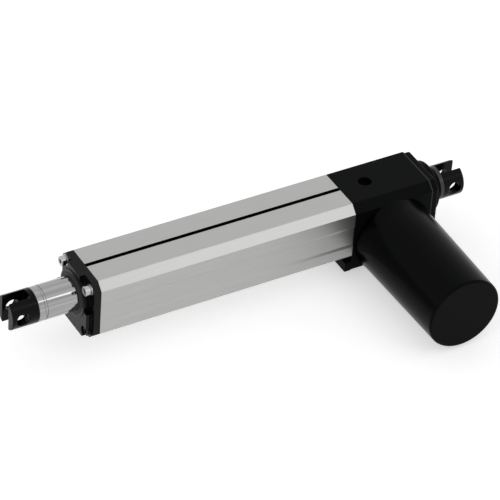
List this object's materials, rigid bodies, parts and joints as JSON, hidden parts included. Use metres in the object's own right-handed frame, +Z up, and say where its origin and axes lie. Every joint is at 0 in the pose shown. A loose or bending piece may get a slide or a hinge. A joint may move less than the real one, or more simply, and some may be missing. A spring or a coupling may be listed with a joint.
{
  "type": "electric linear actuator",
  "caption": "Electric linear actuator with a grooved aluminium tube, a side motor in a black cover, a chrome push rod and a fork at each end.",
  "frame": {"origin": "centre of the rear fork's pin hole, on the screw's axis", "axes": "+X along the screw from the rear fork to the front fork, +Y along the motor, +Z up to the grooved face"},
  "size_m": [0.4315, 0.175, 0.0774],
  "materials": {
    "anodised_aluminium": "satin anodised",
    "black_casting": "matte black powder coat on cast metal",
    "black_steel": "satin black coated steel",
    "cover_plastic": "semi-gloss black",
    "black_plastic": "matte",
    "white_plastic": "natural acetal",
    "bright_steel": "bright zinc",
    "chrome_rod": "polished",
    "bronze": "machined",
    "copper": "enamelled copper",
    "magnet": "sintered, matte",
    "seal_rubber": "matte",
    "board_green": "coated board"
  },
  "bodies": {
    "housing": {"outer_tube": "anodised_aluminium", "front_end_plate": "black_casting", "front_plate_screws": "bright_steel", "front_plate_washers": "bright_steel", "guide_bush": "black_plastic", "wiper_seal": "seal_rubber", "gearbox_housing": "black_casting", "gearbox_tube_screws": "bright_steel", "rear_cover": "black_casting", "cover_gasket": "seal_rubber", "rear_cover_screws": "black_steel", "rear_fork": "black_steel", "rear_fork_ring": "bright_steel", "rear_fork_nut": "bright_steel", "main_bearing_outer": "bright_steel", "main_bearing_balls": "bright_steel", "bearing_retainer": "bright_steel", "rear_screw_bush": "bronze", "motor_flange": "black_casting", "motor_can": "bright_steel", "motor_magnets": "magnet", "motor_end_plate": "bright_steel", "motor_end_bush": "bronze", "worm_far_bush": "bronze", "worm_near_bush": "bronze", "brush_holder": "black_plastic", "motor_brushes": "magnet", "motor_cover": "cover_plastic", "switch_board": "board_green", "rear_limit_switch": "black_plastic", "front_limit_switch": "black_plastic"},
    "rod": {"push_tube": "chrome_rod", "rod_end_collar": "chrome_rod", "front_fork": "black_steel", "drive_nut": "white_plastic", "nut_key": "bright_steel", "nut_guide_ring": "black_plastic"},
    "screw": {"lead_screw": "bright_steel", "worm_wheel": "bronze", "wheel_key": "bright_steel", "main_bearing_inner": "bright_steel", "spacer_sleeve": "bright_steel", "screw_end_nut": "bright_steel", "screw_front_guide": "white_plastic", "screw_circlip": "bright_steel"},
    "armature": {"armature_shaft": "bright_steel", "worm": "bright_steel", "rotor_core": "magnet", "windings": "copper", "commutator": "copper"}
  },
  "joints": [
    {"name": "armature_spin", "type": "hinge", "parent": "housing", "child": "armature", "pos_m": [0.07, 0, -0.016], "axis": [0, 1, 0], "range_deg": [0, 324000]},
    {"name": "screw_spin", "type": "hinge", "parent": "housing", "child": "screw", "pos_m": [0, 0, 0], "axis": [-1, 0, 0], "range_deg": [-1, 13501]},
    {"name": "rod_slide", "type": "slide", "parent": "housing", "child": "rod", "axis": [1, 0, 0], "range_m": [0, 0.15001]}
  ],
  "couplings": [
    {"joint": "screw_spin", "follows": "armature_spin", "ratio": 0.041667},
    {"joint": "rod_slide", "follows": "armature_spin", "m_per_rad": 0.000026526}
  ]
}
